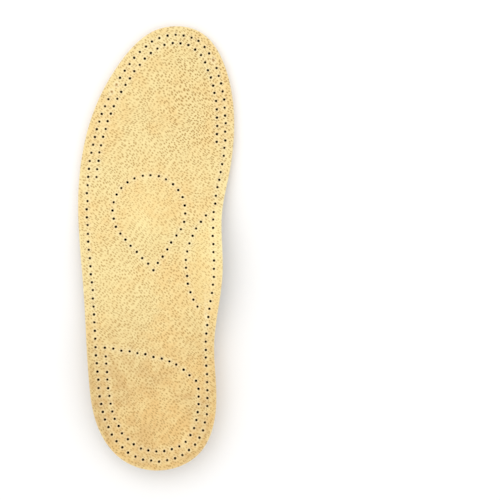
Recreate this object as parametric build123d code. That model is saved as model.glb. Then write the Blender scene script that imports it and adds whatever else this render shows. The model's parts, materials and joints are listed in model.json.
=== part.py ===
from build123d import *
from functools import lru_cache
import math
import os

# A cushioned insole for the left foot, in millimetres, lying cover side up.
# +Y runs from heel to toe, +X towards the inner (arch) side of the foot, +Z up.
# The origin is under the middle of the insole, on the plane that it lies on.

# ---- Overall size -------------------------------------------------------------
LENGTH = 265.0
WIDTH = 93.5

# ---- Layers, from the cover down ------------------------------------------------
COVER_THICKNESS = 1.0
FOAM_THICKNESS = 3.0
LINING_THICKNESS = 0.6
SHELL_THICKNESS = 1.6
SHELL_EDGE = 0.4
SHELL_SKIVE = 30.0
FOAM_INSET = 0.4
LINING_INSET = 2.0

# ---- Flex line under the ball of the foot ----------------------------------------
FLEX_Y = 57.5
FLEX_SLANT = 19.2
FLEX_GAP = 0.3

# ---- Shape of the bed -------------------------------------------------------------
HEEL_RIM = 8.0
RIM_RUN = 18.0
SIDE_RIM_SHARE = 0.3
SIDE_RIM_FRONT = 30.0
SIDE_RIM_REAR = -25.0
SIDE_RIM_BLEND = 55.0
ARCH_RISE = 9.5
ARCH_FOOT = 2.0
ARCH_CREST = 40.0
ARCH_FRONT = 50.0
ARCH_REAR = -75.0
ARCH_BLEND = 58.0
TONGUE_CLEARANCE = 0.15
HEEL_LIFT_RUN = 80.0

# ---- Pads ---------------------------------------------------------------------------
PAD_EDGE = 0.7
PAD_MARGIN = 1.5
MET_CENTRE = (-4.2, 21.5)
MET_RADIUS = 21.8
MET_TIP = (-1.4, -14.5)
MET_TIP_FILLET = 3.0
MET_TIP_MARGIN = 2.25
MET_RISE = 4.0
ARCH_ARC_CENTRE = (63.5, -11.5)
ARCH_ARC_RADIUS = 45.5
ARCH_PAD_RISE = 2.5
ARCH_PAD_INSET = 6.5
ARCH_PAD_BLEND = 13.0

# ---- Heel plug -------------------------------------------------------------------------
PLUG_CENTRE = (-1.8, -90.6)
PLUG_DIAMETER = 31.4
PUCK_DIAMETER = 29.0
PLUG_STANDOFF = 1.2
PUCK_HEIGHT = 0.9
PUCK_FILLET = 0.7
PLUG_CLEARANCE = 0.2
PLUG_HEAD_GAP = 0.1

# ---- Plan outlines, drawn at 265 by 93.5 and graded to the size above -------------------
DRAWN_LENGTH = 265.0
DRAWN_WIDTH = 93.5
INSOLE_OUTLINE = [
    (11.0, 132.5), (31.0, 125.5), (42.5, 104.5), (46.7, 70.0), (43.5, 42.5), (39.7, 22.0),
    (40.0, -15.0), (35.0, -57.0), (36.0, -96.0), (26.0, -122.5), (2.0, -132.5), (-20.5, -125.5),
    (-35.5, -103.0), (-39.5, -79.0), (-41.5, -51.0), (-44.0, -15.0), (-46.6, 22.0), (-44.5, 54.0),
    (-37.0, 82.5), (-22.5, 109.5), (-7.0, 126.3),
]
SHELL_OUTLINE = [
    (-5.0, 45.3), (6.0, 42.0), (15.0, 34.8), (25.0, 29.5), (31.0, 25.0), (30.5, 12.0),
    (27.5, -10.0), (26.0, -35.0), (29.3, -62.0), (31.0, -90.0), (26.5, -109.5), (13.0, -122.5),
    (-1.5, -126.0), (-15.5, -121.3), (-28.5, -105.0), (-34.0, -82.0), (-36.2, -50.0),
    (-37.5, -20.0), (-40.5, 8.0), (-39.0, 15.0), (-32.8, 19.3), (-26.0, 32.0), (-17.5, 42.0),
]

# ---- How finely the curved layers are drawn ------------------------------------------------
GRID_STEP = 3.0
FIT_TOLERANCE = 0.03
FIT_SQUASH = 100.0
GRID_MARGIN = 7.0
OUTLINE_SAMPLES = 240
INSET_STRIDE = 5
SLOPE_STEP = 0.5
TALL = 80.0
DEEP = 20.0
UP = (0.0, 0.0, 1.0)


def graded(point):
    """A plan point of the drawing, moved to where the chosen size puts it."""
    return (point[0] * WIDTH / DRAWN_WIDTH, point[1] * LENGTH / DRAWN_LENGTH)


def closed_outline(points):
    """The smooth closed curve through a list of plan points."""
    return Edge.make_spline([graded(p) for p in points], periodic=True)


def edge_samples():
    """Points round the insole's outline, each with its inward direction."""
    edge = closed_outline(INSOLE_OUTLINE)
    samples = []
    for i in range(OUTLINE_SAMPLES):
        point = edge.position_at(i / OUTLINE_SAMPLES)
        along = edge.tangent_at(i / OUTLINE_SAMPLES)
        samples.append((point.X, point.Y, along.Y, -along.X))
    return samples


EDGE_SAMPLES = edge_samples()
MET_C = graded(MET_CENTRE)
MET_T = graded(MET_TIP)
ARC_C = graded(ARCH_ARC_CENTRE)
PLUG_C = graded(PLUG_CENTRE)
FLEX_C = graded((0.0, FLEX_Y))


# ---- The bed's height as formulas of the plan position --------------------------------------
def ease(t):
    """0 below t = 0, 1 above t = 1, and smooth between them."""
    t = min(max(t, 0.0), 1.0)
    return t * t * t * (10.0 - 15.0 * t + 6.0 * t * t)


def inset_depth(x, y):
    """How far a plan point lies inside the outline; negative outside it."""
    near = min(EDGE_SAMPLES, key=lambda s: (x - s[0]) ** 2 + (y - s[1]) ** 2)
    return (x - near[0]) * near[2] + (y - near[1]) * near[3]


def behind_flex(x, y):
    """How far a plan point lies behind the flex line."""
    slant = math.radians(FLEX_SLANT)
    return (x - FLEX_C[0]) * math.sin(slant) - (y - FLEX_C[1]) * math.cos(slant)


TONGUE_FRONT = min(behind_flex(*graded(p)) for p in SHELL_OUTLINE)


def shell_thickness(x, y):
    """The shell's own thickness, which tapers to a thin edge towards its tongue."""
    full = ease((behind_flex(x, y) - TONGUE_FRONT) / SHELL_SKIVE)
    return SHELL_EDGE + (SHELL_THICKNESS - SHELL_EDGE) * full


def lift(x, y):
    """Rise of the middle of the bed, which clears the shell and the plug below it."""
    behind = behind_flex(x, y)
    under_shell = TONGUE_CLEARANCE + (PLUG_STANDOFF - TONGUE_CLEARANCE) * ease(behind / HEEL_LIFT_RUN)
    return (under_shell + shell_thickness(x, y)) * ease(behind / TONGUE_FRONT)


def rim(x, y):
    """Wall of the heel cup, which fades into a low rim along the outer side."""
    depth = inset_depth(x, y)
    share = max(1.0 - depth / RIM_RUN, 0.0) ** 2 if depth > 0.0 else 1.0 - 2.0 * depth / RIM_RUN
    fade = LENGTH / DRAWN_LENGTH
    side = SIDE_RIM_SHARE * ease((SIDE_RIM_FRONT * fade - y) / SIDE_RIM_BLEND)
    heel = (1.0 - SIDE_RIM_SHARE) * ease((SIDE_RIM_REAR * fade - y) / SIDE_RIM_BLEND)
    return HEEL_RIM * share * (side + heel)


def arch(x, y):
    """Flank that supports the inner arch of the foot."""
    foot, _ = graded((ARCH_FOOT, 0.0))
    crest, _ = graded((ARCH_CREST, 0.0))
    _, front = graded((0.0, ARCH_FRONT))
    _, rear = graded((0.0, ARCH_REAR))
    across = max((x - foot) / (crest - foot), 0.0)
    return ARCH_RISE * across * across * ease((front - y) / ARCH_BLEND) * ease((y - rear) / ARCH_BLEND)


def met_bump(x, y):
    """Dome over the teardrop metatarsal pad."""
    dx = x - MET_C[0]
    dy = y - MET_C[1]
    reach = math.hypot(MET_T[0] - MET_C[0], MET_T[1] - MET_C[1])
    towards_tip = math.atan2(MET_T[1] - MET_C[1], MET_T[0] - MET_C[0])
    turn = abs((math.atan2(dy, dx) - towards_tip + math.pi) % (2.0 * math.pi) - math.pi)
    tangent = math.acos(MET_RADIUS / reach)
    border = MET_RADIUS / math.cos(turn - tangent) if turn < tangent else MET_RADIUS
    share = min(math.hypot(dx, dy) / border, 1.0)
    return MET_RISE * (1.0 - share * share) ** 2


def arch_bump(x, y):
    """Swell over the arch pad."""
    inside_arc = ARCH_ARC_RADIUS - math.hypot(x - ARC_C[0], y - ARC_C[1])
    return ARCH_PAD_RISE * ease(inside_arc / ARCH_PAD_BLEND) * ease(inset_depth(x, y) / ARCH_PAD_BLEND)


@lru_cache(maxsize=None)
def seat(x, y):
    """Height of the lining's underside."""
    return lift(x, y) + rim(x, y) + arch(x, y)


@lru_cache(maxsize=None)
def upright(x, y):
    """Vertical thickness of a layer on the slope here, for each millimetre of its own thickness."""
    along_x = (seat(x + SLOPE_STEP, y) - seat(x - SLOPE_STEP, y)) / (2.0 * SLOPE_STEP)
    along_y = (seat(x, y + SLOPE_STEP) - seat(x, y - SLOPE_STEP)) / (2.0 * SLOPE_STEP)
    return math.sqrt(1.0 + along_x * along_x + along_y * along_y)


def lining_low(x, y):
    """Height of the lining's underside, which the shell lies against."""
    return seat(x, y)


def lining_top(x, y):
    """Height of the lining's upper face."""
    return seat(x, y) + LINING_THICKNESS * upright(x, y)


def foam_top(x, y):
    """Height of the foam's upper face, over the pads."""
    layers = LINING_THICKNESS + FOAM_THICKNESS
    return seat(x, y) + layers * upright(x, y) + met_bump(x, y) + arch_bump(x, y)


def cover_top(x, y):
    """Height of the leather's upper face."""
    return foam_top(x, y) + COVER_THICKNESS * upright(x, y)


def met_pad_top(x, y):
    """Height of the metatarsal pad's dome."""
    return lining_top(x, y) + PAD_EDGE * upright(x, y) + met_bump(x, y)


def arch_pad_top(x, y):
    """Height of the arch pad's swell."""
    return lining_top(x, y) + PAD_EDGE * upright(x, y) + arch_bump(x, y)


def shell_low(x, y):
    """Height of the shell's underside."""
    return seat(x, y) - shell_thickness(x, y) * upright(x, y)


# ---- Plan faces ---------------------------------------------------------------------------------
def plan_face(points):
    """Flat face inside a closed outline."""
    return Face(Wire([closed_outline(points)]))


def insole_face(inset=0.0):
    """Flat face inside the insole's outline, drawn in by an even inset."""
    if not inset:
        return plan_face(INSOLE_OUTLINE)
    corners = EDGE_SAMPLES[::INSET_STRIDE]
    moved = [(x + inset * inward_x, y + inset * inward_y) for x, y, inward_x, inward_y in corners]
    return Face(Wire([Edge.make_spline(moved, periodic=True)]))


def flex_side(ahead):
    """Flat face that covers everything ahead of the flex line, or everything behind it."""
    reach = 2.0 * LENGTH
    side = 1.0 if ahead else -1.0
    place = Pos(*FLEX_C) * Rot(0, 0, FLEX_SLANT) * Pos(0, side * (FLEX_GAP + reach) / 2.0)
    return place * Rectangle(reach, reach)


# ---- Solids ---------------------------------------------------------------------------------------
@lru_cache(maxsize=None)
def sheet(height):
    """Smooth surface over the rear of the plan that follows a height formula."""
    side = WIDTH / 2.0 + GRID_MARGIN
    back = -LENGTH / 2.0 - GRID_MARGIN
    front = FLEX_C[1] + side * math.tan(math.radians(FLEX_SLANT)) + GRID_MARGIN
    columns = round(2.0 * side / GRID_STEP)
    rows = round((front - back) / GRID_STEP)
    grid = []
    for i in range(columns + 1):
        x = -side + 2.0 * side * i / columns
        line = []
        for j in range(rows + 1):
            y = back + (front - back) * j / rows
            line.append((x, y, height(x, y) / FIT_SQUASH))
        grid.append(line)
    # A nearly flat copy of the surface is fitted, because its grid lines stay evenly spaced.
    tolerance = FIT_TOLERANCE / FIT_SQUASH
    flat = Face.make_surface_from_array_of_points(grid, tol=tolerance, min_deg=3)
    return scale(flat, by=(1.0, 1.0, FIT_SQUASH)).faces()[0]


def curved_layer(face, low, top):
    """The part of a plan face's column that lies between two height formulas."""
    column = (Pos(0, 0, -DEEP) * extrude(face, TALL, dir=UP)).solids()[0]
    under_top = min(column.split(sheet(top), keep=Keep.ALL), key=middle_height)
    return max(under_top.split(sheet(low), keep=Keep.ALL), key=middle_height)


def middle_height(solid):
    """Height of a solid's centre, by which the pieces of a split are told apart."""
    return solid.center().Z


def flat_layer(face, low, thickness):
    """A level sheet of the plan face."""
    return Pos(0, 0, low) * extrude(face, thickness, dir=UP)


# ---- Sub-parts --------------------------------------------------------------------------------------
def cover_rear():
    """Leather behind the flex line."""
    face = insole_face() & flex_side(ahead=False)
    return curved_layer(face, foam_top, cover_top)


def cover_front():
    """Leather ahead of the flex line."""
    face = insole_face() & flex_side(ahead=True)
    return flat_layer(face, LINING_THICKNESS + FOAM_THICKNESS, COVER_THICKNESS)


def foam_rear():
    """Latex behind the flex line, hollowed underneath round both pads."""
    face = insole_face(FOAM_INSET) & flex_side(ahead=False)
    return curved_layer(face, lining_top, foam_top) - met_pad() - arch_pad()


def foam_front():
    """Latex ahead of the flex line."""
    face = insole_face(FOAM_INSET) & flex_side(ahead=True)
    return flat_layer(face, LINING_THICKNESS, FOAM_THICKNESS)


def lining_rear():
    """Dark lining behind the flex line, between the foam and the shell."""
    face = insole_face(LINING_INSET) & flex_side(ahead=False)
    return curved_layer(face, lining_low, lining_top)


def lining_front():
    """Dark lining ahead of the flex line, which lies on the shoe."""
    face = insole_face(LINING_INSET) & flex_side(ahead=True)
    return flat_layer(face, 0.0, LINING_THICKNESS)


@lru_cache(maxsize=None)
def met_pad():
    """Teardrop pad behind the ball of the foot, between the lining and the foam."""
    radius = MET_RADIUS - PAD_MARGIN
    tip = Vector(*MET_T) - (Vector(*MET_T) - Vector(*MET_C)).normalized() * MET_TIP_MARGIN
    round_end = Pos(*MET_C) * Circle(radius)
    reach = (tip - Vector(*MET_C)).length
    tangent = math.degrees(math.acos(radius / reach))
    heading = math.degrees(math.atan2(tip.Y - MET_C[1], tip.X - MET_C[0]))
    touches = []
    for side in (tangent, -tangent):
        angle = math.radians(heading + side)
        touches.append((MET_C[0] + radius * math.cos(angle), MET_C[1] + radius * math.sin(angle)))
    wedge = make_face(Polyline(MET_C, touches[0], (tip.X, tip.Y), touches[1], close=True))
    face = round_end + wedge
    point = face.vertices().sort_by_distance(tip)[0]
    return curved_layer(fillet(point, MET_TIP_FILLET), lining_top, met_pad_top)


@lru_cache(maxsize=None)
def arch_pad():
    """Pad inside the inner arch, between the lining and the foam."""
    disc = Pos(*ARC_C) * Circle(ARCH_ARC_RADIUS - PAD_MARGIN)
    face = insole_face(ARCH_PAD_INSET) & disc
    return curved_layer(face, lining_top, arch_pad_top)


def arch_shell():
    """Stiff cup under the heel and arch, with a round hole for the plug."""
    shell = curved_layer(plan_face(SHELL_OUTLINE), shell_low, lining_low)
    hole = Pos(*PLUG_C) * Cylinder(PLUG_DIAMETER / 2.0 + PLUG_CLEARANCE, TALL)
    return shell - hole


def heel_plug():
    """Soft plug that fills the shell's hole and stands proud below it."""
    head = SHELL_THICKNESS + PLUG_STANDOFF - PLUG_HEAD_GAP
    low = (Align.CENTER, Align.CENTER, Align.MIN)
    flange = Pos(0, 0, PUCK_HEIGHT) * Cylinder(PLUG_DIAMETER / 2.0, head - PUCK_HEIGHT, align=low)
    puck = Cylinder(PUCK_DIAMETER / 2.0, PUCK_HEIGHT, align=low)
    plug = flange + puck
    face_edge = plug.edges().group_by(Axis.Z)[0]
    return Pos(*PLUG_C) * fillet(face_edge, PUCK_FILLET)


SUB_PARTS = [
    cover_rear, cover_front, foam_rear, foam_front, lining_rear, lining_front,
    met_pad, arch_pad, arch_shell, heel_plug,
]

os.makedirs("parts", exist_ok=True)
for sub_part in SUB_PARTS:
    solid = sub_part()
    solid.label = sub_part.__name__
    export_step(solid, f"parts/{sub_part.__name__}.step")
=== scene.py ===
import json
import math
import bpy
import numpy as np
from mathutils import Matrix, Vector
from mathutils.bvhtree import BVHTree
from mathutils.geometry import delaunay_2d_cdt
from mathutils.kdtree import KDTree


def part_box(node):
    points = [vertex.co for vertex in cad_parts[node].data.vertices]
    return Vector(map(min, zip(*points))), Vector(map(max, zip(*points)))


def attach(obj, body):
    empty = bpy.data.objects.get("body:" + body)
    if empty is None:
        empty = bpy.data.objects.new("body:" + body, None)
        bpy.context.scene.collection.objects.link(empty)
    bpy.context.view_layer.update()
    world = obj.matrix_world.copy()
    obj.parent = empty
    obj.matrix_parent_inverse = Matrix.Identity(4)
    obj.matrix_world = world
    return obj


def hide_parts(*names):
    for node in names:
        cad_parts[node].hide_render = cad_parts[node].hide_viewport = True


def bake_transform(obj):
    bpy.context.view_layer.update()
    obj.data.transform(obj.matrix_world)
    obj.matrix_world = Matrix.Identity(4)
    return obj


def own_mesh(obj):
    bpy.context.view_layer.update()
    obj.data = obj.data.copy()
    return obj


# A cushioned insole for the left foot, leather side up. All shapes are worked out in
# millimetres in the frame's axes: +Y heel to toe, +X to the inner side, +Z up. "Depth"
# is how far a plan point lies inside an outline, and "gap" how far it is from something
# round: a perforation's centre, the plug's rim or a ring groove.

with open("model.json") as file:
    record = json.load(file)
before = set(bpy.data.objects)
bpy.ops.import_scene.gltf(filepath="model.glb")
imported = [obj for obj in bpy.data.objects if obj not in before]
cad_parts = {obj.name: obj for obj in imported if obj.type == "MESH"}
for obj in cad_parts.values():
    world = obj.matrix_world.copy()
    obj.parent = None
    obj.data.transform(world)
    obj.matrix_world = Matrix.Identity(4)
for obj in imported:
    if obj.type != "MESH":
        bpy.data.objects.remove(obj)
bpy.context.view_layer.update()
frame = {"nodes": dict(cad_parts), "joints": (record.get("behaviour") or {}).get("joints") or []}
MM = 0.001
rng = np.random.default_rng(41)

# ---- Grid on which the CAD surfaces are read -------------------------------------------
STEP = 1.25         # from one ray to the next
REACH = 1.7         # of the smoothing
GRID_MARGIN = 6.0   # past the edge of the CAD nodes
RAY_START = 90.0
FACING = 0.3        # least upright share of a face's normal that counts as top or bottom
WALL_FACING = 0.2   # most upright share of a wall's normal
WALL_STEP = 0.6     # least distance between two points kept from a wall
LATTICE_ROW = 0.866   # row height in a lattice of equal triangles of side 1

# ---- Perforations ----------------------------------------------------------------------
HOLE_RADIUS = 0.74
HOLE_SPREAD = (0.9, 1.07)
HOLE_PITCH = 4.85
HOLE_WANDER = 0.132
HOLE_APART = 2.9
HOLE_SEGMENTS = 12
EDGE_ROW = 5.2             # depth of each row that follows the edge
TOE_ROW = 10.1
HEEL_ROW = 10.6
PAD_MARGIN = 1.5           # from a pad below the leather to its row
DROP_TIP = (2.6, -3.2)     # the teardrop's tip, from the low end of the pad's box
ARC_RADIUS = 45.5
ARC_TURN = (137.6, 211.5)
ARC_HOLES = 13
# Places in the plan, as shares of its width and length, from its middle. The dull holes
# are the ones that the punch left half closed.
TOE_ROW_ENDS = [(0.394, 0.24), (-0.38, 0.159)]
HEEL_ROW_ENDS = [(-0.32, -0.226), (0.276, -0.318)]
HEEL_LINE = [(-0.035, -0.2445), (0.122, -0.262)]
DULL_HOLES = [(-0.248, 0.375), (-0.274, 0.359), (0.361, 0.431)]

# ---- Layers ----------------------------------------------------------------------------
FILM = 0.01          # kept between two layers, so that they don't share a surface
FOAM_INSET = 0.45    # from the leather's edge
LINING_INSET = 0.1   # from the foam's lower edge
HOLE_FLARE = 0.1     # how much wider a hole is in the foam

# ---- Underside -------------------------------------------------------------------------
DOT_RADIUS = 1.25
DOT_SPREAD = (0.95, 1.05)
DOT_HEIGHT = 0.28
DOT_PITCH_X = 6.2
DOT_PITCH_Y = 3.0
DOT_TILT = 2.0
DOT_COLUMNS = 10
DOT_ROWS = 50
DOT_SEGMENTS = 16
# One dot from its pin hole outwards: share of the radius, share of the height.
DOT_PROFILE = np.array([(0.22, 0.15), (0.36, 0.85), (0.62, 1.0), (0.93, 0.66), (1.0, -0.3)])
# Corners of the blank panel in the shell's tongue.
PANEL = [(-11.2, 32.0), (0.7, 31.6), (-0.1, 10.1), (-12.0, 10.5)]
PANEL_CORNER = 1.6
PANEL_DEPTH = 0.28
PLUG_CLEARANCE = 0.2
PLUG_SEGMENTS = 72
GLUE_TRIES = 420
THREAD_SHARE = 0.2

# ---- Heel plug -------------------------------------------------------------------------
PUCK_SHARE = 29.0 / 31.4
PUCK_HEIGHT = 0.9
PUCK_FILLET = 0.85
PUCK_SEGMENTS = 96
GROOVE_RADIUS = 2.7
GROOVE_REACH = 8.6
GROOVE_TURN = 14.0
GROOVE_DEPTH = 0.35

# ---- Studio, in metres -----------------------------------------------------------------
FLOOR_HALF = 6.0
FLOOR_Z = -0.0004
VIEW_WIDTH = 0.2991
VIEW_HEIGHT = 1.5
LEATHER_HEIGHT = 0.006
VIEW_AT = (0.05623, -0.0015)


# ---- Reading the CAD surfaces ----------------------------------------------------------
def node_mesh(names, facing):
    """Corners in millimetres of some CAD nodes, and their faces that look up or down."""
    points, faces = [], []
    for name in names:
        mesh = frame["nodes"][name].data
        first = len(points)
        points += [tuple(v.co / MM) for v in mesh.vertices]
        faces += [tuple(i + first for i in p.vertices) for p in mesh.polygons
                  if p.normal.z * facing > FACING]
    return points, faces


def gather(values, across, along):
    """Weighted sum of the neighbours of every cell."""
    pad = len(across) // 2
    rows, columns = values.shape
    grown = np.pad(values, pad)
    grown = sum(k * grown[i:i + rows, :] for i, k in enumerate(across))
    return sum(k * grown[:, j:j + columns] for j, k in enumerate(along))


class Surface:
    """A smooth height over the plan, read from one side of some CAD nodes."""

    def __init__(self, names, above=True):
        points, faces = node_mesh(names, 1.0 if above else -1.0)
        tree = BVHTree.FromPolygons(points, faces)
        flat = np.array(points)
        self.low = flat.min(0)[:2] - GRID_MARGIN
        size = flat.max(0)[:2] + GRID_MARGIN - self.low
        self.shape = tuple(int(n) for n in np.ceil(size / STEP) + 1)
        start = RAY_START if above else -RAY_START
        heights = np.full(self.shape, np.nan)
        for i in range(self.shape[0]):
            x = self.low[0] + i * STEP
            for j in range(self.shape[1]):
                origin = Vector((x, self.low[1] + j * STEP, start))
                hit = tree.ray_cast(origin, Vector((0, 0, -start)))[0]
                if hit is not None:
                    heights[i, j] = hit.z
        self.values = self.smooth(heights)

    @staticmethod
    def smooth(heights):
        """A local quadratic fit at every cell, which also carries on past the edge."""
        taps = int(3 * REACH / STEP)
        t = np.arange(-taps, taps + 1) * STEP / REACH
        weight = np.exp(-t * t / 2)
        known = (~np.isnan(heights)).astype(float)
        filled = np.nan_to_num(heights)
        terms = [(0, 0), (1, 0), (0, 1), (2, 0), (1, 1), (0, 2)]
        sums = {}
        for a in range(5):
            for b in range(5 - a):
                sums[a, b] = gather(known, weight * t ** a, weight * t ** b)
        matrix = np.zeros(heights.shape + (6, 6))
        right = np.zeros(heights.shape + (6, 1))
        for m, (a, b) in enumerate(terms):
            right[..., m, 0] = gather(filled, weight * t ** a, weight * t ** b)
            for n, (c, d) in enumerate(terms):
                matrix[..., m, n] = sums[a + c, b + d]
        # A little weight keeps the fit calm where few neighbours are known.
        ridge = np.diag([1e-9, 1e-6, 1e-6, 3e-3, 3e-3, 3e-3])
        return np.linalg.solve(matrix + ridge, right)[..., 0, 0]

    def __call__(self, xy):
        """Height at each plan point, by bicubic interpolation."""
        place = (np.asarray(xy, float) - self.low) / STEP
        cell = np.clip(np.floor(place).astype(int), 1, np.array(self.shape) - 3)
        f = np.clip(place - cell, 0.0, 1.0)
        result = np.zeros(len(place))
        for i, wx in enumerate(cubic(f[:, 0])):
            for j, wy in enumerate(cubic(f[:, 1])):
                result += wx * wy * self.values[cell[:, 0] + i - 1, cell[:, 1] + j - 1]
        return result


def cubic(f):
    """Catmull-Rom weights of the four neighbours."""
    f2, f3 = f * f, f * f * f
    return (-0.5 * f3 + f2 - 0.5 * f, 1.5 * f3 - 2.5 * f2 + 1.0,
            -1.5 * f3 + 2.0 * f2 + 0.5 * f, 0.5 * f3 - 0.5 * f2)


# ---- Plan curves -----------------------------------------------------------------------
def resample(points, spacing, closed=True):
    """Even points along the smooth curve through some points."""
    points = np.asarray(points, float)
    if not closed:
        before, after = 2 * points[0] - points[1], 2 * points[-1] - points[-2]
        ring = np.vstack([before, points, after])
        spans = np.linalg.norm(np.diff(ring, axis=0), axis=1)
        slopes = np.diff(ring, axis=0) / spans[:, None]
        d0, d1 = spans[:-1, None], spans[1:, None]
        tangents = (slopes[:-1] * d1 + slopes[1:] * d0) / (d0 + d1)
        spans, following, tangents_next = spans[1:-1], points[1:], tangents[1:]
        count = max(int(round(spans.sum() / spacing)), 1)
        u = np.arange(count + 1) * spans.sum() / count
    else:
        following = np.roll(points, -1, 0)
        spans = np.linalg.norm(following - points, axis=1)
        slopes = (following - points) / spans[:, None]
        d1, d0 = spans[:, None], np.roll(spans, 1)[:, None]
        tangents = (np.roll(slopes, 1, 0) * d1 + slopes * d0) / (d0 + d1)
        tangents_next = np.roll(tangents, -1, 0)
        count = int(round(spans.sum() / spacing))
        u = np.arange(count) * spans.sum() / count
    starts = np.concatenate([[0.0], np.cumsum(spans)])
    k = np.clip(np.searchsorted(starts, u, side="right") - 1, 0, len(spans) - 1)
    h = spans[k][:, None]
    s = (u - starts[k])[:, None] / h
    s2, s3 = s * s, s * s * s
    return ((2 * s3 - 3 * s2 + 1) * points[k] + (s3 - 2 * s2 + s) * h * tangents[k]
            + (3 * s2 - 2 * s3) * following[k] + (s3 - s2) * h * tangents_next[k])


class Outline:
    """A closed plan curve, counterclockwise, with its inward direction at each point."""

    def __init__(self, points, spacing=1.0):
        self.points = resample(points, spacing)
        along = np.roll(self.points, -1, 0) - np.roll(self.points, 1, 0)
        along /= np.linalg.norm(along, axis=1)[:, None]
        self.inward = np.stack([-along[:, 1], along[:, 0]], 1)

    def inset(self, depth):
        """The curve moved inwards, by one depth or by one for each point."""
        return self.points + self.inward * np.reshape(depth, (-1, 1))

    def depth(self, xy):
        """Depth inside the curve of each point, and the nearest place on the curve."""
        xy = np.asarray(xy, float)
        depth, place = np.empty(len(xy)), np.empty(len(xy), int)
        for k in range(0, len(xy), 2000):
            part = xy[k:k + 2000]
            gap = part[:, None, :] - self.points[None]
            near = (gap ** 2).sum(2).argmin(1)
            place[k:k + 2000] = near
            rows = np.arange(len(part))
            depth[k:k + 2000] = (gap[rows, near] * self.inward[near]).sum(1)
        return depth, place


def wall_outline(names, keep):
    """The outline that the upright faces of some CAD nodes stand on."""
    found = {}
    for name in names:
        mesh = frame["nodes"][name].data
        for face in mesh.polygons:
            if abs(face.normal.z) < WALL_FACING:
                for i in face.vertices:
                    x, y, _ = mesh.vertices[i].co / MM
                    if keep(x, y):
                        found[round(x, 1), round(y, 1)] = (x, y)
    points = np.array(sorted(found.values()))
    centre = (points.min(0) + points.max(0)) / 2
    angles = np.arctan2(*(points - centre).T[::-1])
    points = points[np.argsort(angles)]
    apart = np.linalg.norm(points - np.roll(points, 1, 0), axis=1) > WALL_STEP
    return Outline(points[apart])


# ---- Where things are, from the frame --------------------------------------------------
HINGE = next(j for j in frame["joints"] if j["name"] == "forefoot_flex")
HINGE_AT = np.array(HINGE["pos_m"][:2]) / MM
HINGE_ALONG = np.array(HINGE["axis"][:2]) / np.linalg.norm(HINGE["axis"][:2])
TOEWARD = np.array([-HINGE_ALONG[1], HINGE_ALONG[0]])


def box_mm(node):
    """Low and high corner of a node in millimetres."""
    low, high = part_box(node)
    return np.array(low) / MM, np.array(high) / MM


def ahead(x, y):
    """How far a plan point lies ahead of the flex line."""
    return (x - HINGE_AT[0]) * TOEWARD[0] + (y - HINGE_AT[1]) * TOEWARD[1]


PLUG_LOW, PLUG_HIGH = box_mm("heel_plug")
PLUG_AT = (PLUG_LOW[:2] + PLUG_HIGH[:2]) / 2
PLUG_RADIUS = (PLUG_HIGH[0] - PLUG_LOW[0]) / 2
MET_LOW, MET_HIGH = box_mm("met_pad")
MET_RADIUS = (MET_HIGH[0] - MET_LOW[0]) / 2 + PAD_MARGIN
MET_AT = np.array([(MET_LOW[0] + MET_HIGH[0]) / 2, MET_HIGH[1] + PAD_MARGIN - MET_RADIUS])
MET_TIP = np.array([MET_AT[0], MET_LOW[1]]) + DROP_TIP
PAD_LOW, PAD_HIGH = box_mm("arch_pad")
ARC_AT = np.array([PAD_LOW[0] - PAD_MARGIN + ARC_RADIUS,
                   (PAD_LOW[1] + PAD_HIGH[1]) / 2 - PAD_MARGIN])

EDGE = wall_outline(["cover_rear", "cover_front"], lambda x, y: abs(ahead(x, y)) > 1.0)
SHELL_EDGE = wall_outline(["arch_shell"], lambda x, y: math.dist((x, y), PLUG_AT) > PLUG_RADIUS + 2)
COVER_TOP = Surface(["cover_rear", "cover_front"])
FOAM_TOP = Surface(["foam_rear", "foam_front"])
FOAM_LOW = Surface(["foam_rear", "foam_front"], above=False)
LINING_LOW = Surface(["lining_rear", "lining_front"], above=False)
LINING_TOP = Surface(["lining_rear", "lining_front"])
SHELL_LOW = Surface(["arch_shell"], above=False)


def ease(t):
    """0 to 1 with flat ends."""
    t = np.clip(t, 0.0, 1.0)
    return t * t * (3.0 - 2.0 * t)


def fade(values, start, end):
    """0 at start to 1 at end, with flat ends."""
    return ease((values - start) / (end - start))


def bell(values, middle, width):
    """1 at the middle, falling off to both sides."""
    return np.exp(-((values - middle) / width) ** 2)


def distance(xy, at):
    """Distance of each plan point from one place."""
    return np.hypot(*(xy - at).T)


# ---- Perforation rows ------------------------------------------------------------------
SPAN = np.ptp(EDGE.points, axis=0)


def on_circle(at, radius, angles):
    """Plan points on a circle, at some angles."""
    return np.stack([at[0] + radius * np.cos(angles), at[1] + radius * np.sin(angles)], 1)


def between(curve, start, end):
    """The part of a closed curve from near one point, counterclockwise to near another."""
    first = ((curve - start) ** 2).sum(1).argmin()
    last = ((curve - end) ** 2).sum(1).argmin()
    count = (last - first) % len(curve)
    return curve[(first + np.arange(count + 1)) % len(curve)]


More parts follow.
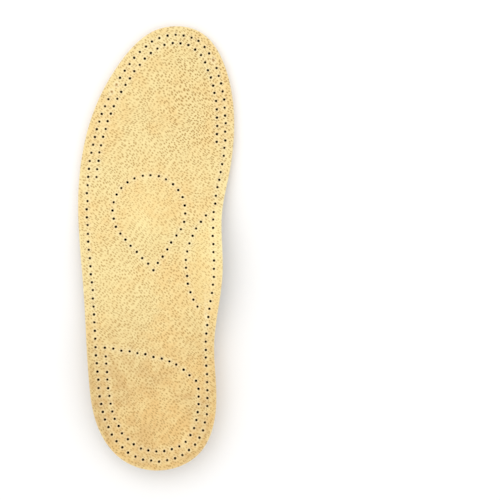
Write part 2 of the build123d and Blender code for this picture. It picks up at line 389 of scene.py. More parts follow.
def perforations():
    """Centre and radius of every hole, row by row, none on top of another."""
    toe = between(EDGE.inset(TOE_ROW), *(SPAN * TOE_ROW_ENDS))
    heel = between(EDGE.inset(HEEL_ROW), *(SPAN * HEEL_ROW_ENDS))
    line = np.vstack([heel[0] + (4.8, -0.6), SPAN * HEEL_LINE, heel[-1] + (-1.8, 4.6)])
    turn = math.acos(MET_RADIUS / np.linalg.norm(MET_TIP - MET_AT))
    down = math.atan2(*(MET_TIP - MET_AT)[::-1])
    sweep = np.linspace(down + turn, down - turn + 2 * math.pi, 60)
    drop = np.vstack([MET_TIP, on_circle(MET_AT, MET_RADIUS, sweep), MET_TIP])
    arc = on_circle(ARC_AT, ARC_RADIUS, np.radians(np.linspace(*ARC_TURN, ARC_HOLES)))
    rows = [
        evenly(EDGE.inset(EDGE_ROW), HOLE_PITCH, closed=True), evenly(toe, HOLE_PITCH),
        evenly(heel, HOLE_PITCH), evenly(resample(line, 0.5, closed=False), HOLE_PITCH),
        evenly(drop, HOLE_PITCH)[:-1], arc,
    ]
    holes = []
    for row in rows:
        for at in row:
            x, y = rng.normal(at, HOLE_WANDER)
            radius = HOLE_RADIUS * rng.uniform(*HOLE_SPREAD)
            if all(math.hypot(x - a, y - b) > HOLE_APART for a, b, _ in holes):
                holes.append((x, y, radius))
    return holes


def evenly(points, pitch, closed=False):
    """Points at an even pitch along a polyline."""
    points = np.asarray(points, float)
    if closed:
        points = np.vstack([points, points[:1]])
    spans = np.linalg.norm(np.diff(points, axis=0), axis=1)
    reach = np.concatenate([[0.0], np.cumsum(spans)])
    count = int(round(reach[-1] / pitch))
    at = np.arange(count + (0 if closed else 1)) * reach[-1] / count
    return np.stack([np.interp(at, reach, points[:, k]) for k in range(2)], 1)


HOLES = perforations()
HOLE_XY = np.array([h[:2] for h in HOLES])
DULL_XY = [HOLE_XY[distance(HOLE_XY, at).argmin()] for at in SPAN * DULL_HOLES]


# ---- Plan meshes -----------------------------------------------------------------------
def circle(at, radius, segments, turn=0.0):
    """A closed ring of plan points."""
    return on_circle(at, radius, np.arange(segments) * 2 * math.pi / segments + turn)


def plan_tree(xy):
    """Search tree over plan points."""
    tree = KDTree(len(xy))
    for i, (x, y) in enumerate(xy):
        tree.insert((x, y, 0.0), i)
    tree.balance()
    return tree


def triangulate(edge_loop, inner, holes, spacing):
    """Plan points and triangles inside edge_loop, and where each loop's points begin.
    Each entry of holes is left open, and each entry of inner is only a line that the
    triangles keep."""
    loops = [edge_loop] + holes + inner
    firsts = np.cumsum([0] + [len(l) for l in loops])
    fixed = np.vstack(loops)
    sides = []
    for first, loop in zip(firsts, loops):
        n = len(loop)
        sides += [(first + i, first + (i + 1) % n) for i in range(n)]
    near = plan_tree(fixed)
    low, high = edge_loop.min(0), edge_loop.max(0)
    lattice = []
    row_gap = spacing * LATTICE_ROW
    for j in range(int((high[1] - low[1]) / row_gap) + 1):
        y = low[1] + j * row_gap
        for x in np.arange(low[0] + (j % 2) * spacing / 2, high[0], spacing):
            if near.find((x, y, 0.0))[2] > spacing * 0.62:
                lattice.append((x, y))
    lattice = np.array(lattice)
    lattice = lattice[inside(edge_loop, lattice)]
    for hole in holes:
        centre = hole.mean(0)
        lattice = lattice[distance(lattice, centre) > distance(hole, centre).max()]
    points = np.vstack([fixed, lattice])
    found = delaunay_2d_cdt([Vector(p) for p in points], sides, [], 0, 1e-7)
    xy = np.array([tuple(v) for v in found[0]])
    if len(xy) != len(points):
        raise ValueError("loops of a plan mesh cross")
    triangles = np.array(found[2])
    loop_of = np.full(len(xy), -1)
    for k in range(1 + len(holes)):
        loop_of[firsts[k]:firsts[k + 1]] = k
    kinds = loop_of[triangles]
    same = (kinds[:, 0] == kinds[:, 1]) & (kinds[:, 1] == kinds[:, 2])
    drop = same & (kinds[:, 0] > 0)
    rim = same & (kinds[:, 0] == 0)
    if rim.any():
        drop[rim] = ~inside(edge_loop, xy[triangles[rim]].mean(1))
    return xy, triangles[~drop], firsts


def inside(loop, xy):
    """Whether each plan point lies inside a closed loop."""
    result = np.zeros(len(xy), bool)
    a, b = loop, np.roll(loop, -1, 0)
    for (ax, ay), (bx, by) in zip(a, b):
        if ay == by:
            continue
        crossing = (ay > xy[:, 1]) != (by > xy[:, 1])
        x = ax + (xy[:, 1] - ay) * (bx - ax) / (by - ay)
        result ^= crossing & (xy[:, 0] < x)
    return result


def make_piece(name, points, faces, material, marks=None, sharp=35.0):
    """A smooth-shaded mesh object from points in millimetres, with its rest place kept."""
    mesh = bpy.data.meshes.new(name)
    mesh.from_pydata((np.asarray(points) * MM).tolist(), [], [list(map(int, f)) for f in faces])
    mesh.validate()
    mesh.shade_smooth()
    mesh.set_sharp_from_angle(angle=math.radians(sharp))
    rest = mesh.attributes.new("rest", "FLOAT_VECTOR", "POINT")
    rest.data.foreach_set("vector", np.asarray(points, np.float32).ravel())
    for key, values in (marks or {}).items():
        mark = mesh.attributes.new(key, "FLOAT", "POINT")
        mark.data.foreach_set("value", np.asarray(values, np.float32))
    mesh.materials.append(material)
    piece = bpy.data.objects.new(name, mesh)
    bpy.context.scene.collection.objects.link(piece)
    return piece


def layer(name, edge, top, low, material, rounding, holes=(), rings=(), lines=(), spacing=1.5,
          segments=HOLE_SEGMENTS, walls=2, bulge=0.0, low_inset=0.0, low_run=7.0, marks=None):
    """A closed sheet between two heights over the plan, with a rounded edge.

    holes go right through it. lines, and rings round each hole, give its mesh more
    detail. low_inset draws the lower edge inwards, which fades out over low_run, and
    bulge pushes the outer wall out. marks(points, side) gives the attributes, where side
    is 0 on top, 1 below and 2 on the walls."""
    steps = np.radians([0.0, 35.0, 65.0, 90.0])
    insets = rounding * (1.0 - np.cos(steps))
    drops = rounding * (1.0 - np.sin(steps))
    edge_loops = [edge.inset(i) for i in insets]
    hole_loops, ring_loops = [], []
    for x, y, radius in holes:
        turn = rng.uniform(0, 2 * math.pi)
        hole_loops.append(circle((x, y), radius, segments, turn))
        ring_loops += [circle((x, y), radius + r, segments, turn) for r in rings]
    inner = edge_loops[1:] + ring_loops + list(lines)
    xy, triangles, firsts = triangulate(edge_loops[0], inner, hole_loops, spacing)
    depth, place = edge.depth(xy)
    depth = np.maximum(depth, 0.0)
    drop = np.interp(depth, insets, drops)
    low_inset = np.broadcast_to(np.asarray(low_inset, float), (len(edge.points),))
    shift = low_inset[place] * np.clip(1.0 - depth / low_run, 0.0, 1.0)
    low_xy = xy + edge.inward[place] * shift[:, None]
    z_top, z_low = top(xy) - drop, low(low_xy) + drop
    count = len(xy)
    points = [np.column_stack([xy, z_top]), np.column_stack([low_xy, z_low])]
    faces = triangles.tolist() + (triangles[:, ::-1] + count).tolist()
    side = [np.zeros(count), np.ones(count)]
    size = 2 * count
    for k in range(1 + len(hole_loops)):
        ids = np.arange(firsts[k], firsts[k + 1])
        n = len(ids)
        previous = ids
        for w in range(1, walls + 1):
            t = w / (walls + 1)
            a, b = points[0][ids], points[1][ids]
            wall = a * (1 - t) + b * t
            if k == 0 and bulge:
                wall[:, :2] -= edge.inward * bulge * math.sin(math.pi * t)
            points.append(wall)
            side.append(np.full(n, 2.0))
            current = size + np.arange(n)
            size += n
            faces += quads(previous, current, flip=k > 0)
            previous = current
        faces += quads(previous, ids + count, flip=k > 0)
    points, side = np.vstack(points), np.concatenate(side)
    values = marks(points, side) if marks else None
    return make_piece(name, points, faces, material, values)


def quads(upper, lower, flip):
    """Faces between two rings of the same length; upper runs counterclockwise."""
    after = np.roll(upper, -1)
    below = np.roll(lower, -1)
    faces = np.stack([upper, lower, below, after], 1)
    return (faces[:, ::-1] if flip else faces).tolist()


# ---- Materials -------------------------------------------------------------------------
def srgb(r, g, b):
    """Linear colour of an 8-bit sRGB colour."""
    shares = [v / 255 for v in (r, g, b)]
    return tuple(v / 12.92 if v < 0.0405 else ((v + 0.055) / 1.055) ** 2.4 for v in shares) + (1.0,)


class Look:
    """A node material with short calls for its nodes. Textures lie in the rest place in
    millimetres, so they move with a piece; solid takes it from object coordinates."""

    def __init__(self, name, solid=False, **sockets):
        self.material = bpy.data.materials.new(name)
        self.material.use_nodes = True
        self.tree = self.material.node_tree
        self.shader = self.tree.nodes["Principled BSDF"]
        for key, value in sockets.items():
            self.shader.inputs[key.replace("_", " ")].default_value = value
        if solid:
            place = self.node("ShaderNodeTexCoord").outputs["Object"]
            self.rest = self.node("ShaderNodeVectorMath", {0: place, 1: (1 / MM,) * 3},
                                  operation="MULTIPLY").outputs[0]
        else:
            self.rest = self.node("ShaderNodeAttribute", attribute_name="rest").outputs["Vector"]

    def node(self, kind, inputs=None, **props):
        """A new node, with its properties and its inputs set or linked."""
        node = self.tree.nodes.new(kind)
        for key, value in props.items():
            setattr(node, key, value)
        for key, value in (inputs or {}).items():
            self.put(node.inputs[key], value)
        return node

    def put(self, socket, value):
        if isinstance(value, bpy.types.NodeSocket):
            self.tree.links.new(value, socket)
        else:
            socket.default_value = value

    def mark(self, name):
        """One of the piece's own point attributes."""
        return self.node("ShaderNodeAttribute", attribute_name=name).outputs["Fac"]

    def noise(self, scale, detail=3.0, vector=None, rough=0.5, colour=False):
        node = self.node("ShaderNodeTexNoise", {
            "Vector": vector or self.rest, "Scale": scale, "Detail": detail, "Roughness": rough})
        return node.outputs["Color" if colour else "Fac"]

    def cells(self, scale, vector=None, randomness=1.0, feature="F1", flat=False):
        node = self.node("ShaderNodeTexVoronoi", {
            "Vector": vector or self.rest, "Scale": scale, "Randomness": randomness},
            feature=feature, voronoi_dimensions="2D" if flat else "3D")
        return node.outputs["Distance"]

    def ramp(self, value, a, b, low=0.0, high=1.0):
        """value from a to b, carried smoothly to low..high."""
        node = self.node("ShaderNodeMapRange", {
            "Value": value, "From Min": a, "From Max": b, "To Min": low, "To Max": high},
            interpolation_type="SMOOTHSTEP")
        return node.outputs["Result"]

    def sum(self, a, b, how="ADD"):
        node = self.node("ShaderNodeMath", operation=how)
        self.put(node.inputs[0], a)
        self.put(node.inputs[1], b)
        return node.outputs[0]

    def mix(self, amount, a, b):
        """Colour a, carried to colour b."""
        node = self.node("ShaderNodeMix", data_type="RGBA")
        self.put(node.inputs["Factor"], amount)
        self.put(node.inputs[6], a)
        self.put(node.inputs[7], b)
        return node.outputs[2]

    def warp(self, scale, amount, vector=None):
        """The rest place, shifted about by noise."""
        shift = self.node("ShaderNodeVectorMath", {0: self.noise(scale, 2.0, vector, colour=True),
                                                   1: (0.5, 0.5, 0.5)}, operation="SUBTRACT")
        moved = self.node("ShaderNodeVectorMath", {
            0: shift.outputs[0], 1: (amount,) * 3, 2: vector or self.rest}, operation="MULTIPLY_ADD")
        return moved.outputs[0]

    def turned(self, vector, degrees, scale):
        """The place turned back by some degrees, then divided by scale."""
        node = self.node("ShaderNodeMapping", {
            "Vector": vector, "Rotation": (0, 0, math.radians(degrees)), "Scale": scale},
            vector_type="TEXTURE")
        return node.outputs["Vector"]

    def bump(self, height, depth_mm, strength, under=None):
        node = self.node("ShaderNodeBump", {
            "Height": height, "Distance": depth_mm * MM, "Strength": strength})
        if under:
            self.put(node.inputs["Normal"], under)
        return node.outputs["Normal"]

    def finish(self, colour, roughness, normal):
        """Links the shader and gives the finished material."""
        self.put(self.shader.inputs["Base Color"], colour)
        self.put(self.shader.inputs["Roughness"], roughness)
        self.put(self.shader.inputs["Normal"], normal)
        return self.material


def leather():
    look = Look("cover_leather_look", Specular_IOR_Level=0.3, Sheen_Weight=0.1, Sheen_Roughness=0.4)
    # Slanting dashes in wavy rows, as the pores of pigskin lie.
    wavy = look.warp(0.035, 9.0)
    wavy = look.warp(0.25, 0.9, wavy)
    dashes = look.turned(wavy, -36.0, (2.25, 1.3, 2.0))
    pore = look.ramp(look.cells(1.0, dashes, 0.62, flat=True), 0.14, 0.42, 1.0, 0.0)
    strong = look.ramp(look.noise(0.3, 3.0), 0.36, 0.56, 0.45, 1.0)
    pore = look.sum(pore, strong, "MULTIPLY")
    pore = look.sum(pore, look.mark("grain"), "MULTIPLY")
    small = look.turned(wavy, -30.0, (0.95, 0.6, 1.0))
    pebble = look.cells(1.0, small, 0.9, "SMOOTH_F1", flat=True)
    fine = look.noise(4.0, 4.0, rough=0.65)
    patch = look.noise(0.035, 3.0, rough=0.55)
    blotch = look.noise(0.2, 3.0)
    # Painted shade of the heel cup comes in with this tone, darker towards the heel.
    colour = look.mix(look.mark("tone"), srgb(247, 230, 166), srgb(216, 182, 123))
    colour = look.mix(look.ramp(patch, 0.38, 0.66, 0.0, 0.6), colour, srgb(238, 200, 130))
    colour = look.mix(look.ramp(blotch, 0.38, 0.66, 0.0, 0.4), colour, srgb(246, 228, 166))
    colour = look.mix(look.ramp(fine, 0.4, 0.75, 0.0, 0.16), colour, srgb(214, 170, 98))
    colour = look.mix(look.sum(pore, 0.95, "MULTIPLY"), colour, srgb(180, 140, 76))
    # Light halos round the holes and a painted highlight along the arch.
    colour = look.mix(look.mark("halo"), colour, srgb(255, 243, 200))
    colour = look.mix(look.mark("cut"), colour, srgb(160, 114, 66))
    # Painted shade inside the holes.
    colour = look.mix(look.mark("depth"), colour, srgb(16, 10, 7))
    rough = look.ramp(look.sum(fine, pore, "ADD"), 0.3, 1.5, 0.5, 0.72)
    relief = look.sum(look.sum(pebble, 0.45, "MULTIPLY"), look.sum(pore, -1.0, "MULTIPLY"))
    normal = look.bump(relief, 0.2, 0.9)
    normal = look.bump(fine, 0.05, 0.6, under=normal)
    return look.finish(colour, rough, normal)


def latex(name, tint, dark, solid=False):
    look = Look(name, solid, Specular_IOR_Level=0.25, Subsurface_Weight=0.08, Subsurface_Scale=0.002)
    cells = look.cells(2.2, look.warp(0.8, 0.5), 1.0)
    pits = look.ramp(cells, 0.12, 0.42, 0.0, 1.0)
    grain = look.noise(3.5, 4.0, rough=0.6)
    colour = look.mix(look.ramp(look.noise(0.12, 3.0), 0.35, 0.7), tint, dark)
    colour = look.mix(look.ramp(grain, 0.4, 0.75, 0.0, 0.35), colour, srgb(214, 176, 112))
    # Painted shade inside the perforations.
    colour = look.mix(look.mark("depth"), colour, srgb(20, 13, 9))
    normal = look.bump(pits, 0.18, 0.5)
    normal = look.bump(grain, 0.1, 0.5, under=normal)
    return look.finish(colour, look.ramp(grain, 0.3, 0.8, 0.72, 0.92), normal)


def lining_cloth():
    look = Look("dotted_lining_look", Specular_IOR_Level=0.15, Sheen_Weight=0.06, Sheen_Roughness=0.5)
    threads = look.warp(1.2, 0.12)
    over = look.node("ShaderNodeTexWave", {"Vector": threads, "Scale": 0.62, "Distortion": 0.6,
                                           "Detail": 1.0}, bands_direction="X")
    under = look.node("ShaderNodeTexWave", {"Vector": threads, "Scale": 0.62, "Distortion": 0.6,
                                            "Detail": 1.0}, bands_direction="Y")
    weave = look.sum(over.outputs["Fac"], under.outputs["Fac"], "MULTIPLY")
    fuzz = look.noise(4.0, 4.0, rough=0.7)
    colour = look.mix(look.ramp(fuzz, 0.3, 0.8), srgb(5, 5, 8), srgb(22, 22, 30))
    colour = look.mix(look.ramp(look.noise(0.07, 2.0), 0.4, 0.7, 0.0, 0.4), colour, srgb(14, 14, 21))
    normal = look.bump(weave, 0.16, 0.7)
    normal = look.bump(fuzz, 0.08, 0.5, under=normal)
    return look.finish(colour, look.ramp(fuzz, 0.2, 0.9, 0.78, 0.96), normal)


def dot_rubber():
    look = Look("grip_dot_look", Specular_IOR_Level=0.4, Subsurface_Weight=0.05, Subsurface_Scale=0.001)
    grain = look.noise(2.4, 3.0)
    colour = look.mix(look.ramp(grain, 0.35, 0.7), srgb(238, 240, 214), srgb(222, 222, 190))
    colour = look.mix(look.mark("pin"), colour, srgb(84, 86, 72))
    return look.finish(colour, look.ramp(grain, 0.3, 0.8, 0.42, 0.6), look.bump(grain, 0.06, 0.6))


def fibreboard():
    look = Look("arch_shell_look", Specular_IOR_Level=0.42, Coat_Weight=0.06, Coat_Roughness=0.35)
    wavy = look.warp(0.25, 1.6)
    pebble = look.cells(0.75, wavy, 1.0, "SMOOTH_F1")
    crease = look.cells(0.55, look.warp(0.5, 1.6), 0.9, "DISTANCE_TO_EDGE")
    grained = look.sum(1.0, look.sum(look.mark("smooth"), 0.85, "MULTIPLY"), "SUBTRACT")
    crease = look.sum(look.ramp(crease, 0.0, 0.16, 1.0, 0.0), grained, "MULTIPLY")
    pebble = look.sum(pebble, grained, "MULTIPLY")
    fine = look.noise(3.2, 4.0, rough=0.6)
    patch = look.noise(0.04, 3.0)
    colour = look.mix(look.ramp(patch, 0.3, 0.75), srgb(236, 189, 117), srgb(231, 180, 105))
    colour = look.mix(look.ramp(pebble, 0.1, 0.7, 0.0, 0.5), colour, srgb(248, 208, 142))
    colour = look.mix(look.ramp(fine, 0.38, 0.72, 0.0, 0.35), colour, srgb(208, 152, 82))
    colour = look.mix(look.sum(crease, 0.4, "MULTIPLY"), colour, srgb(198, 140, 72))
    streaks = look.noise(1.0, 3.0, look.turned(look.rest, 0.0, (0.8, 14.0, 1.0)))
    # Painted highlight bands along the flanges and light worn edges, broken into fine streaks.
    colour = look.mix(look.sum(look.mark("wear"), look.ramp(streaks, 0.3, 0.62, 0.35, 1.0), "MULTIPLY"),
                      colour, srgb(246, 220, 180))
    colour = look.mix(look.mark("ring"), colour, srgb(224, 148, 66))
    relief = look.sum(look.sum(pebble, 0.6, "MULTIPLY"), look.sum(crease, -0.6, "MULTIPLY"))
    normal = look.bump(relief, 0.35, 0.9)
    normal = look.bump(fine, 0.06, 0.6, under=normal)
    return look.finish(colour, look.ramp(fine, 0.3, 0.8, 0.38, 0.58), normal)


def plug_rubber():
    look = Look("heel_plug_look", Specular_IOR_Level=0.5, Subsurface_Weight=0.15, Subsurface_Scale=0.003)
    cloud = look.noise(0.16, 3.0)
    fine = look.noise(2.6, 3.0)
    colour = look.mix(look.ramp(cloud, 0.35, 0.7), srgb(217, 230, 238), srgb(224, 232, 236))
    colour = look.mix(look.ramp(fine, 0.5, 0.8, 0.0, 0.25), colour, srgb(204, 214, 220))
    # Painted shade in the grooves and on the puck's side.
    colour = look.mix(look.mark("painted_plug_shade"), colour, srgb(150, 162, 178))
    return look.finish(colour, look.ramp(fine, 0.3, 0.8, 0.36, 0.5), look.bump(fine, 0.05, 0.5))


def glue_white():
    look = Look("glue_look", Specular_IOR_Level=0.5)
    grain = look.noise(3.0, 3.0)
    colour = look.mix(look.ramp(grain, 0.35, 0.7), srgb(252, 250, 240), srgb(240, 232, 208))
    return look.finish(colour, look.ramp(grain, 0.3, 0.8, 0.4, 0.7), look.bump(grain, 0.1, 0.6))


LEATHER = leather()
LATEX = latex("latex_foam_look", srgb(243, 217, 164), srgb(238, 206, 148))
PAD_FOAM = latex("pad_foam_look", srgb(240, 220, 180), srgb(230, 204, 158), solid=True)
LINING_CLOTH = lining_cloth()
DOT_RUBBER = dot_rubber()
FIBREBOARD = fibreboard()
PLUG_RUBBER = plug_rubber()
GLUE = glue_white()


# ---- Leather cover ---------------------------------------------------------------------
def hole_gap(xy):
    """Distance from each plan point to the nearest hole's centre."""
    near = plan_tree(HOLE_XY)
    return np.array([near.find((x, y, 0.0))[2] for x, y in xy])


def dull(xy):
    """Whether each plan point lies in a hole that the punch left half closed."""
    return np.min([distance(xy, at) for at in DULL_XY], 0) < 1.6


OPEN_HOLES = [h for h, closed in zip(HOLES, dull(HOLE_XY)) if not closed]
DENT_LINES = [circle(at, r, HOLE_SEGMENTS) for at in DULL_XY for r in (0.35, 0.75, 1.2)]


def wrinkle(xy):
    """Slow swells of the leather, a few hundredths of a millimetre high."""
    x, y = xy[:, 0], xy[:, 1]
    return (0.035 * np.sin(x / 7.3 + 1.7 * np.sin(y / 23.0)) * np.sin(y / 9.1 + 1.3 * np.sin(x / 17.0))
            + 0.02 * np.sin(x / 3.1 - y / 4.7) * np.sin(y / 5.3 + x / 11.0))


def cover_top(xy):
    """Upper side: the CAD surface with slow swells, dented round each hole."""
    gap = hole_gap(xy)
    dimple = 0.2 * bell((gap - HOLE_RADIUS).clip(0), 0.0, 0.55)
    lip = 0.16 * ease(1.0 - (gap - HOLE_RADIUS) / 0.3)
    return COVER_TOP(xy) + wrinkle(xy) - dimple - lip


def cover_marks(points, side):
    """Painted shade darkening the heel cup, paler pads, light halos round the holes, a painted highlight
    along the arch and painted shade inside the holes.
    """
    xy = points[:, :2]
    x, y = xy.T
    gap = hole_gap(xy)
    depth, _ = EDGE.depth(xy)
    top = side == 0
    heel = fade(y, -20.0, -90.0)
    dome = fade(distance(xy, MET_AT), 26.0, 0.0)
    arch = fade(distance(xy, ARC_AT), ARC_RADIUS + 4.0, ARC_RADIUS - 8.0)
    toe = fade(y, 40.0, 80.0) * fade(x, -12.0, 28.0)
    # Painted shade of the heel cup darkens the heel in this tone, which is paler over the pads.
    tone = 0.32 + 0.64 * heel + 0.06 * toe - 0.34 * dome - 0.3 * arch * (1 - heel)
    # A painted highlight along the crest of the arch.
    streak = ease(1 - np.abs(x - 30.0 + 0.03 * (y + 40)) / 1.4) * ease(1 - np.abs(y + 38.0) / 20.0)
    halo = 0.42 * bell(gap, 1.25, 0.42) + 0.4 * streak + 0.2 * fade(depth, 1.2, 0.0)
    hole_rim = 0.25 * fade(gap, HOLE_RADIUS + 0.25, HOLE_RADIUS)
    dent = 0.95 * ease(1.3 - gap / 0.8)
    outer = depth < 1.0
    cut = np.where(top, np.where(dull(xy), dent, hole_rim), np.where(outer, 0.42, 0.0))
    # Painted shade inside the holes, on their walls and on the leather's underside.
    painted_hole_shade = np.where(~top & ~outer, 0.85, 0.0)
    grain = (0.78 + 0.3 * toe - 0.25 * dome - 0.2 * arch).clip(0.3, 1.0)
    return {"grain": grain, "tone": tone.clip(0, 1), "halo": (halo * top).clip(0, 1),
            "cut": cut, "depth": painted_hole_shade}


cover = layer("leather_cover", EDGE, cover_top, FOAM_TOP, LEATHER, holes=OPEN_HOLES,
              lines=DENT_LINES, rings=(0.14, 0.45, 1.0), rounding=0.32, marks=cover_marks)


# ---- Foam cushion ----------------------------------------------------------------------
def bevel_at(points):
    """How far the foam's lower edge lies inside its upper edge: most at the inner heel."""
    x, y = points.T
    inner_heel = fade(x, -5.0, 20.0) * fade(y, -20.0, -70.0)
    toe = fade(y, 60.0, 110.0)
    return 0.9 + 1.5 * inner_heel + 0.25 * toe


def foam_marks(points, side):
    """Painted shade on the walls inside the perforations."""
    gap = hole_gap(points[:, :2])
    return {"depth": np.where(gap < HOLE_RADIUS + 0.25, 0.9, 0.0)}


foam_edge = Outline(EDGE.inset(FOAM_INSET))
FOAM_HOLES = [(x, y, r + HOLE_FLARE) for x, y, r in OPEN_HOLES]
foam = layer("latex_cushion", foam_edge, lambda xy: FOAM_TOP(xy) - FILM, lambda xy: FOAM_LOW(xy) + FILM,
             LATEX, holes=FOAM_HOLES, rings=(0.5,), rounding=0.12, spacing=1.9, walls=4, bulge=0.12,
             low_inset=bevel_at(foam_edge.points), marks=foam_marks)

# ---- Lining and its grip dots ----------------------------------------------------------
lining_edge = Outline(EDGE.inset(FOAM_INSET + bevel_at(EDGE.points) + LINING_INSET))
lining = layer("dotted_lining", lining_edge, lambda xy: LINING_TOP(xy) - FILM, LINING_LOW, LINING_CLOTH,
               rounding=0.18, spacing=2.2, walls=1)


def dot_centres():
    """Staggered rows over the lining, apart from what the shell covers."""
    across, along = np.radians([DOT_TILT, DOT_TILT + 90.0])
    centres = []
    for j in range(-DOT_ROWS, DOT_ROWS + 1):
        for i in range(-DOT_COLUMNS, DOT_COLUMNS + 1):
            x, y = (i + (j % 2) / 2) * DOT_PITCH_X, j * DOT_PITCH_Y
            centres.append((x * math.cos(across) + y * math.cos(along),
                            x * math.sin(across) + y * math.sin(along)))
    centres = np.array(centres)
    depth, _ = lining_edge.depth(centres)
    under_shell, _ = SHELL_EDGE.depth(centres)
    return centres[(depth > -0.5) & (under_shell < DOT_RADIUS - 0.35)]


def grip_dots():
    """Raised round dots with a pin hole, cut off at the lining's edge."""
    points, faces, pin = [], [], []
    n, rings = DOT_SEGMENTS, len(DOT_PROFILE)
    for centre in dot_centres():
        size = DOT_RADIUS * rng.uniform(*DOT_SPREAD)
        first = len(points)
        points.append((*centre, 0.1))
        pin += [1.0] + [0.75] * n + [0.0] * n * (rings - 1)
        for share, rise in DOT_PROFILE:
            points += [(x, y, rise) for x, y in circle(centre, size * share, n)]
        loops = first + 1 + np.arange(rings * n).reshape(rings, n)
        faces += [(first, b, a) for a, b in zip(loops[0], np.roll(loops[0], -1))]
        for inner, outer in zip(loops, loops[1:]):
            faces += quads(outer, inner, flip=False)
        faces.append(tuple(loops[-1]))
    points = np.array(points)
    xy, rise = points[:, :2], points[:, 2]
    depth, place = lining_edge.depth(xy)
    outside = (0.15 - depth).clip(0.0)
    xy = xy + lining_edge.inward[place] * outside[:, None]
    z = LINING_LOW(xy) - DOT_HEIGHT * rise
    return make_piece("grip_dots", np.column_stack([xy, z]), faces, DOT_RUBBER, {"pin": pin})


dots = grip_dots()


# ---- Arch and heel shell ---------------------------------------------------------------
def rounded_panel(grow):
    """Outline of the smooth blank panel pressed into the shell's tongue."""
    corners = np.array(PANEL[::-1])
    middle = corners.mean(0)
    loop = []
    for k in range(4):
        a, b, c = corners[k - 1], corners[k], corners[(k + 1) % 4]
        u, v = (a - b) / np.linalg.norm(a - b), (c - b) / np.linalg.norm(c - b)
        for t in np.linspace(0, 1, 6):
            start, end = b + u * PANEL_CORNER, b + v * PANEL_CORNER
            loop.append((1 - t) ** 2 * start + 2 * t * (1 - t) * b + t * t * end)
    loop = np.array(loop)
    out = loop - middle
    loop = loop + grow * out / np.linalg.norm(out, axis=1)[:, None]
    return evenly(loop, 0.9, closed=True)


PANEL_LOOPS = [rounded_panel(g) for g in (-0.35, 0.0)]
PANEL_EDGE = Outline(PANEL_LOOPS[1], 0.6)


def shell_low(xy):
    """Underside: the CAD surface, with the panel and the ring round the plug pressed in."""
    inner, _ = PANEL_EDGE.depth(xy)
    gap = distance(xy, PLUG_AT) - PLUG_RADIUS
    ring = 0.3 * bell(gap, 1.7, 0.9) + 0.25 * fade(gap, 0.7, 0.0)
    return SHELL_LOW(xy) + PANEL_DEPTH * fade(inner, 0.0, 0.35) + ring


def shell_marks(points, side):
    """Painted highlight bands along the flanges, light worn edges, a warm ring round the plug and the
    smooth panel.
    """
    xy = points[:, :2]
    x, y = xy.T
    depth, _ = SHELL_EDGE.depth(xy)
    panel, _ = PANEL_EDGE.depth(xy)
    gap = distance(xy, PLUG_AT) - PLUG_RADIUS
    # Painted highlights along the curved flanges, where light falls on them.
    medial_painted_highlight = (bell(depth, 4.6, 2.2) * fade(x, 0.0, 12.0) * fade(y, 22.0, 2.0)
                  * fade(y, -62.0, -32.0))
    lateral_painted_highlight = (bell(depth, 3.0, 1.6) * fade(x, 0.0, -12.0) * fade(y, 5.0, -25.0)
                  * fade(y, -110.0, -80.0))
    panel_rim = bell(panel, -0.1, 0.4) * (side == 1)
    wear = 0.4 * fade(depth, 1.3, 0.0) + 0.75 * medial_painted_highlight + 0.35 * lateral_painted_highlight + 0.42 * panel_rim
    wear = np.where((side == 2) & (gap > 3), 0.75, wear)
    ring = 0.75 * bell(gap, 1.6, 1.5) + 0.2 * fade(panel, 0.0, 0.4)
    return {"wear": wear.clip(0, 1), "ring": ring.clip(0, 1), "smooth": fade(panel, 0.0, 0.4)}


shell = layer("arch_heel_shell", SHELL_EDGE, lambda xy: LINING_LOW(xy) - FILM, shell_low, FIBREBOARD,
              holes=[(*PLUG_AT, PLUG_RADIUS + PLUG_CLEARANCE)], rings=(0.5, 1.1, 1.8, 2.6, 3.6),
              lines=PANEL_LOOPS, rounding=0.18, marks=shell_marks, walls=1, spacing=1.7,
              segments=PLUG_SEGMENTS)


def tube(points, faces, path, radii, segments=6):
    """Adds a closed tube of changing thickness along a path."""
    along = np.gradient(path, axis=0)
    along /= np.linalg.norm(along, axis=1)[:, None]
    side = np.cross(along, (0.0, 0.0, 1.0))
    side /= np.linalg.norm(side, axis=1)[:, None]
    up = np.cross(side, along)
    loops = len(points) + np.arange(len(path) * segments).reshape(len(path), segments)
    for p, s, u, r in zip(path, side, up, radii):
        for a in np.arange(segments) * 2 * math.pi / segments:
            points.append(tuple(p + r * (s * math.cos(a) + u * math.sin(a))))
    for before, after in zip(loops, loops[1:]):
        faces += quads(before, after, flip=False)
    faces += [tuple(loops[0]), tuple(loops[-1][::-1])]


def glue_beads():
    """White glue squeezed out along the shell's edge, and frayed threads caught in it."""
    points, faces = [], []
    n = len(SHELL_EDGE.points)
    for _ in range(GLUE_TRIES):
        k = int(rng.integers(n))
        x, y = SHELL_EDGE.points[k]
        chance = 0.9 if (y > 22 or x > 22) else (0.6 if y < -100 else 0.12)
        if rng.random() > chance:
            continue
        span = int(rng.integers(2, 4))
        ids = (k + np.arange(span + 1)) % n
        inward = SHELL_EDGE.inward[ids]
        thread = rng.random() < THREAD_SHARE
        plan = SHELL_EDGE.points[ids] - inward * rng.uniform(0.05, 0.3)
        if thread:
            steps = np.arange(span + 1)[:, None]
            sway = np.cumsum(rng.normal(0, 0.5, (span + 1, 1)), 0) + steps * 0.5
            plan = plan - inward * sway
        plan = resample(plan, 0.35, closed=False)
        z = LINING_LOW(plan) - rng.uniform(0.12, 0.3)
        t = np.linspace(0, 1, len(plan))
        size = 0.1 if thread else rng.uniform(0.14, 0.32)
        radii = size * (0.25 + 0.75 * np.sin(math.pi * t) ** 0.7) * rng.uniform(0.7, 1.2, len(plan))
        tube(points, faces, np.column_stack([plan, z]), radii)
    return make_piece("glue_beads", points, faces, GLUE, sharp=80.0)


glue = glue_beads()


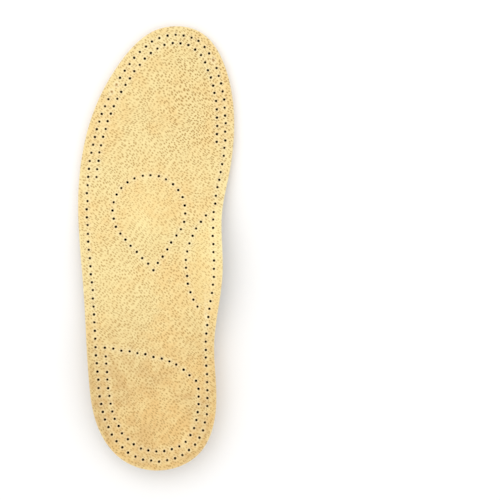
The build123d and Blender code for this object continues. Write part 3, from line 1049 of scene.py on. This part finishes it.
# ---- Heel plug -------------------------------------------------------------------------
def plug_profile():
    """Radius and height of the plug from its flange down to the puck's flat face."""
    puck = PLUG_RADIUS * PUCK_SHARE
    low, step = PLUG_LOW[2], PLUG_LOW[2] + PUCK_HEIGHT
    profile = [(PLUG_RADIUS, PLUG_HIGH[2]), (PLUG_RADIUS, step + 0.35), (PLUG_RADIUS - 0.12, step + 0.1),
               (PLUG_RADIUS - 0.4, step), (puck + 0.12, step), (puck, step - 0.1)]
    for a in np.radians([0, 22, 45, 68, 90]):
        profile.append((puck - PUCK_FILLET * (1 - math.cos(a)), low + PUCK_FILLET * (1 - math.sin(a))))
    return profile


def heel_plug():
    """Soft plug: a rim, a raised puck with a rounded edge, and seven ring grooves."""
    profile, low, n = plug_profile(), PLUG_LOW[2], PUCK_SEGMENTS
    points, faces = [], []
    for r, z in profile:
        points += [(x, y, z) for x, y in circle(PLUG_AT, r, n)]
    loops = np.arange(len(profile) * n).reshape(len(profile), n)
    for upper, lower in zip(loops, loops[1:]):
        faces += quads(upper, lower, flip=False)
    faces.append(tuple(loops[0]))
    turns = np.radians(np.arange(6) * 60 + GROOVE_TURN)
    middles = [PLUG_AT, *on_circle(PLUG_AT, GROOVE_REACH, turns)]
    lines = [circle(c, GROOVE_RADIUS + d, 30) for c in middles for d in (-0.45, -0.15, 0.15, 0.45)]
    xy, triangles, _ = triangulate(circle(PLUG_AT, profile[-1][0], n), lines, [], 1.1)
    gap = np.min([np.abs(distance(xy, c) - GROOVE_RADIUS) for c in middles], 0)
    z = low + GROOVE_DEPTH * fade(gap, 0.48, 0.1)
    ids = np.concatenate([loops[-1], len(points) + np.arange(len(xy) - n)])
    faces += [tuple(ids[t][::-1]) for t in triangles]
    points = np.vstack([points, np.column_stack([xy, z])[n:]])
    # Painted shade on the puck's side and rim, and in the ring grooves.
    painted_plug_shade = 0.55 * fade(points[:, 2], low + 0.5, low + 1.0)
    painted_plug_shade[loops.size:] += 0.85 * fade(gap[n:], 0.55, 0.0)
    return make_piece("heel_cushion_plug", points, faces, PLUG_RUBBER, {"painted_plug_shade": painted_plug_shade}, sharp=40.0)


plug = heel_plug()


# ---- Inner pads keep their CAD shape and get a foam look -------------------------------
for name in ("met_pad", "arch_pad"):
    pad = frame["nodes"][name]
    for slot in pad.material_slots:
        slot.material = PAD_FOAM

# ---- Bodies ----------------------------------------------------------------------------
for piece in (cover, foam, lining, dots):
    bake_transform(piece)
for piece in (shell, glue, plug):
    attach(piece, "rearfoot")
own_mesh(plug)
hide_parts("cover_rear", "cover_front")
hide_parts("foam_rear", "foam_front")
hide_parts("lining_rear", "lining_front")
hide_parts("arch_shell")
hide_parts("heel_plug")

# ---- Floor, light and camera -----------------------------------------------------------
floor_mesh = bpy.data.meshes.new("floor")
corners = [(x * FLOOR_HALF, y * FLOOR_HALF, FLOOR_Z) for x, y in ((-1, -1), (1, -1), (1, 1), (-1, 1))]
floor_mesh.from_pydata(corners, [], [(0, 1, 2, 3)])
floor = bpy.data.objects.new("floor", floor_mesh)
bpy.context.scene.collection.objects.link(floor)
floor_look = bpy.data.materials.new("floor_look")
floor_look.use_nodes = True
floor_shader = floor_look.node_tree.nodes["Principled BSDF"]
floor_shader.inputs["Base Color"].default_value = (0.94, 0.94, 0.94, 1.0)
floor_shader.inputs["Roughness"].default_value = 0.9
floor_shader.inputs["Specular IOR Level"].default_value = 0.1
floor_mesh.materials.append(floor_look)

world = bpy.data.worlds.new("studio")
bpy.context.scene.world = world
world.use_nodes = True
world.node_tree.nodes["Background"].inputs["Color"].default_value = (1.0, 1.0, 1.0, 1.0)
world.node_tree.nodes["Background"].inputs["Strength"].default_value = 0.92


def softbox(name, place, size, power):
    """A square area light that looks at the middle of the frame."""
    light = bpy.data.lights.new(name, "AREA")
    light.shape = "SQUARE"
    light.size = size
    light.energy = power
    box = bpy.data.objects.new(name, light)
    box.location = place
    box.rotation_mode = "QUATERNION"
    box.rotation_quaternion = (-Vector(place)).to_track_quat("-Z", "Y")
    bpy.context.scene.collection.objects.link(box)


softbox("key", (-0.45, 0.5, 1.25), 1.3, 5.0)
softbox("fill", (0.9, -0.4, 1.3), 1.3, 2.0)

camera_data = bpy.data.cameras.new("camera")
camera_data.sensor_width = 36.0
camera_data.lens = 36.0 * VIEW_HEIGHT / VIEW_WIDTH
camera = bpy.data.objects.new("camera", camera_data)
camera.location = (*VIEW_AT, VIEW_HEIGHT + LEATHER_HEIGHT)
bpy.context.scene.collection.objects.link(camera)
bpy.context.scene.camera = camera
bpy.context.scene.view_settings.view_transform = "Standard"
